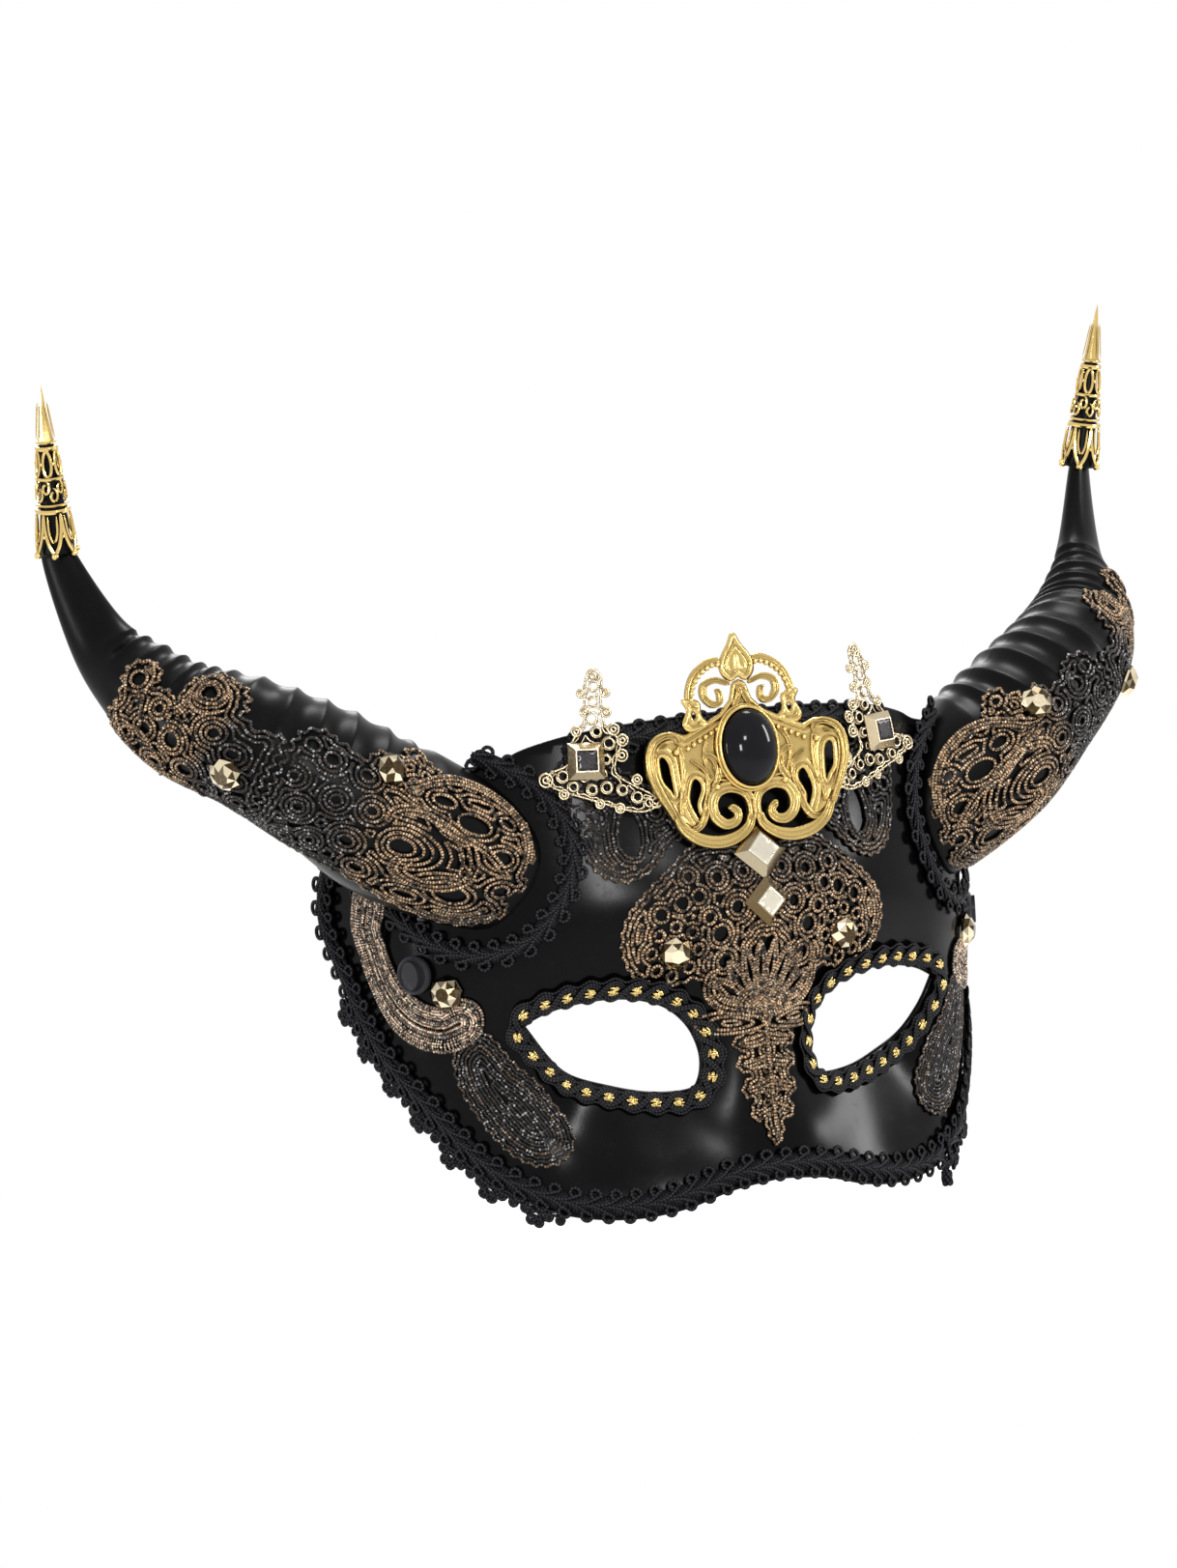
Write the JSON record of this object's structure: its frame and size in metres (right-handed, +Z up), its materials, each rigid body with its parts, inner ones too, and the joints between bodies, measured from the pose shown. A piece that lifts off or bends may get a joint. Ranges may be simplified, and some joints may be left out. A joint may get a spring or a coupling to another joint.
{
  "type": "horned masquerade half mask",
  "caption": "Horned half mask that covers the brow, eyes and upper cheeks: moulded shell, hollow bull horns with filigree caps, crown, studs, lace and gimp braid.",
  "frame": {"origin": "on the bridge of the nose, between the eyes, at the height of the eye line", "axes": "+X to the right of someone facing the mask, -Y out of its front, +Z up"},
  "size_m": [0.3184, 0.0858, 0.2307],
  "materials": {
    "shell": "satin black moulded plastic",
    "horn": "satin black moulded plastic",
    "gold": "matt gold plate",
    "pale_gold": "bright pale gold plate",
    "stud_gold": "bright faceted gold",
    "dark_mirror": "dark bright plate",
    "jet": "high gloss jet black",
    "gimp": "black corded gimp",
    "lace_bronze": "bronze and black corded lace",
    "lace_gold": "pale bronze satin lace",
    "lace_black": "black glitter corded lace"
  },
  "bodies": {
    "root": {"face_shell": "shell", "left_horn_front": "horn", "left_horn_back": "horn", "right_horn_front": "horn", "right_horn_back": "horn", "left_horn_cap": "gold", "right_horn_cap": "gold", "crown_plate": "gold", "cabochon_cup": "gold", "cabochon": "jet", "left_corner_filigree": "pale_gold", "right_corner_filigree": "pale_gold", "left_corner_stud": "dark_mirror", "right_corner_stud": "dark_mirror", "upper_diamond_stud": "pale_gold", "lower_diamond_stud": "pale_gold", "left_forehead_stud": "stud_gold", "right_forehead_stud": "stud_gold", "left_temple_stud": "stud_gold", "right_temple_stud": "stud_gold", "left_horn_studs": "stud_gold", "right_horn_studs": "stud_gold", "left_tie_button": "jet", "right_tie_button": "jet", "top_braid": "gimp", "lower_braid": "gimp", "right_side_braid": "gimp", "trim_end": "gimp", "left_horn_braid": "gimp", "right_horn_braid": "gimp", "left_picot_edging": "gimp", "right_picot_edging": "gimp", "left_eye_braid": "gimp", "right_eye_braid": "gimp", "centre_lace": "lace_bronze", "left_forehead_lace": "lace_black", "right_forehead_lace": "lace_black", "left_temple_crescent": "lace_gold", "right_temple_crescent": "lace_gold", "left_cheek_lace": "lace_black", "right_cheek_lace": "lace_black", "left_horn_root_lace": "lace_bronze", "right_horn_root_lace": "lace_bronze", "left_horn_tip_lace": "lace_bronze", "right_horn_tip_lace": "lace_bronze"}
  },
  "joints": []
}
